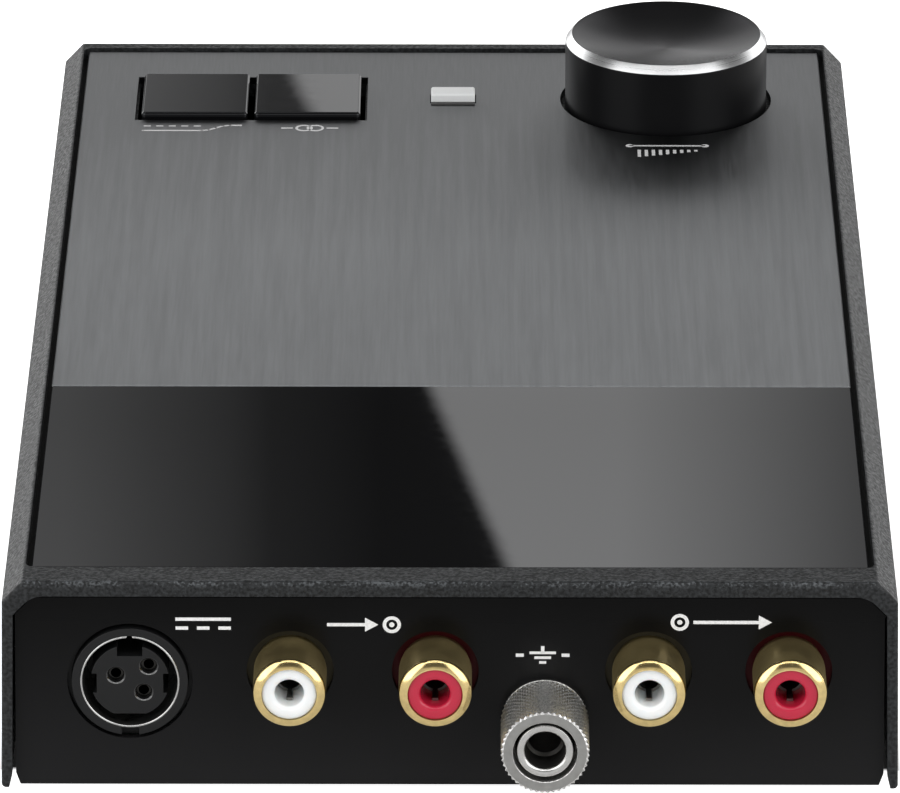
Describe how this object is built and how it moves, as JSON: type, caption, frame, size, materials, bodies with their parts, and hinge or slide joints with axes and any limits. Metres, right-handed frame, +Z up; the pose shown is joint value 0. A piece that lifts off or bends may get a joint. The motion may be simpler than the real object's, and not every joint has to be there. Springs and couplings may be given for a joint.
{
  "type": "phono preamplifier",
  "caption": "Small desktop phono preamplifier: shallow metal case, turned level knob and push buttons on top, phono jacks, power socket and ground post on the rear panel.",
  "frame": {"origin": "on the surface that the feet stand on, midway along the whole length from the front end of the cover to the face of the thumb nut, and midway across", "axes": "+Z up; +Y from the front to the jack panel; +X to the right as seen from the front"},
  "size_m": [0.1024, 0.1868, 0.0372],
  "materials": {
    "cover_coat": "dark grey textured powder coat",
    "brushed_plate": "grey anodised, brushed front to back",
    "gloss_strip": "polished black acrylic",
    "tray_coat": "satin black",
    "foot_rubber": "matt black rubber",
    "screw_steel": "zinc plated",
    "knob_black": "black anodised, turned, with a bright bevel",
    "button_black": "polished black",
    "light_lens": "clear, frosted",
    "board_green": "solder resist",
    "part_black": "moulded black",
    "part_red": "dipped film capacitor",
    "part_can": "sleeved can",
    "gilt": "gold plated",
    "insulator_white": "moulded white",
    "insulator_red": "moulded red",
    "inlet_black": "moulded black",
    "shield_tin": "tin plated",
    "contact_tin": "tin plated brass",
    "post_nickel": "nickel plated brass"
  },
  "bodies": {
    "case": {"cover": "cover_coat", "base_tray": "tray_coat", "foot_front_left": "foot_rubber", "foot_front_right": "foot_rubber", "foot_rear_left": "foot_rubber", "foot_rear_right": "foot_rubber", "brushed_plate": "brushed_plate", "gloss_strip": "gloss_strip", "case_screws": "screw_steel", "circuit_board": "board_green", "board_standoffs": "screw_steel", "board_screws": "screw_steel", "amplifier_chips": "part_black", "film_capacitors": "part_red", "supply_capacitors": "part_can", "pot_body": "part_black", "pot_bush": "contact_tin", "pot_washer": "screw_steel", "pot_nut": "screw_steel", "mono_spring": "screw_steel", "mono_switch": "part_black", "subsonic_spring": "screw_steel", "subsonic_switch": "part_black", "status_light": "light_lens", "status_led": "light_lens", "inlet_housing": "inlet_black", "inlet_shield": "shield_tin", "inlet_core": "inlet_black", "inlet_contacts": "contact_tin", "ground_post": "post_nickel", "ground_lock_washer": "screw_steel", "ground_tag": "contact_tin", "ground_hex_nut": "post_nickel", "input_left_barrel": "gilt", "input_left_insulator": "insulator_white", "input_left_contact": "gilt", "input_left_body": "part_black", "input_right_barrel": "gilt", "input_right_insulator": "insulator_red", "input_right_contact": "gilt", "input_right_body": "part_black", "output_left_barrel": "gilt", "output_left_insulator": "insulator_white", "output_left_contact": "gilt", "output_left_body": "part_black", "output_right_barrel": "gilt", "output_right_insulator": "insulator_red", "output_right_contact": "gilt", "output_right_body": "part_black"},
    "level_knob": {"level_knob": "knob_black", "knob_insert": "contact_tin", "pot_shaft": "screw_steel"},
    "mono_button": {"mono_button": "button_black", "mono_plunger": "part_black"},
    "subsonic_button": {"subsonic_button": "button_black", "subsonic_plunger": "part_black"},
    "clamp": {"clamp_washer": "post_nickel"},
    "thumb_nut": {"ground_thumb_nut": "post_nickel"}
  },
  "joints": [
    {"name": "level_turn", "type": "hinge", "parent": "case", "child": "level_knob", "pos_m": [-0.0274, -0.0733, 0.0281], "axis": [0, 0, 1], "range_deg": [-150, 150]},
    {"name": "mono_press", "type": "slide", "parent": "case", "child": "mono_button", "axis": [0, 0, -1], "range_m": [0, 0.0018], "stiffness_N_per_m": 800, "springref_m": -0.001, "deforming": ["mono_spring"]},
    {"name": "subsonic_press", "type": "slide", "parent": "case", "child": "subsonic_button", "axis": [0, 0, -1], "range_m": [0, 0.0018], "stiffness_N_per_m": 800, "springref_m": -0.001, "deforming": ["subsonic_spring"]},
    {"name": "clamp_travel", "type": "slide", "parent": "case", "child": "clamp", "axis": [0, 1, 0], "range_m": [0, 0.003]},
    {"name": "thumb_nut_turn", "type": "hinge", "parent": "clamp", "child": "thumb_nut", "pos_m": [-0.0108, 0.0844, 0.01135], "axis": [0, 1, 0], "range_deg": [0, 1441]}
  ],
  "couplings": [
    {"joint": "thumb_nut_turn", "follows": "clamp_travel", "rad_per_m": 8377.6}
  ]
}
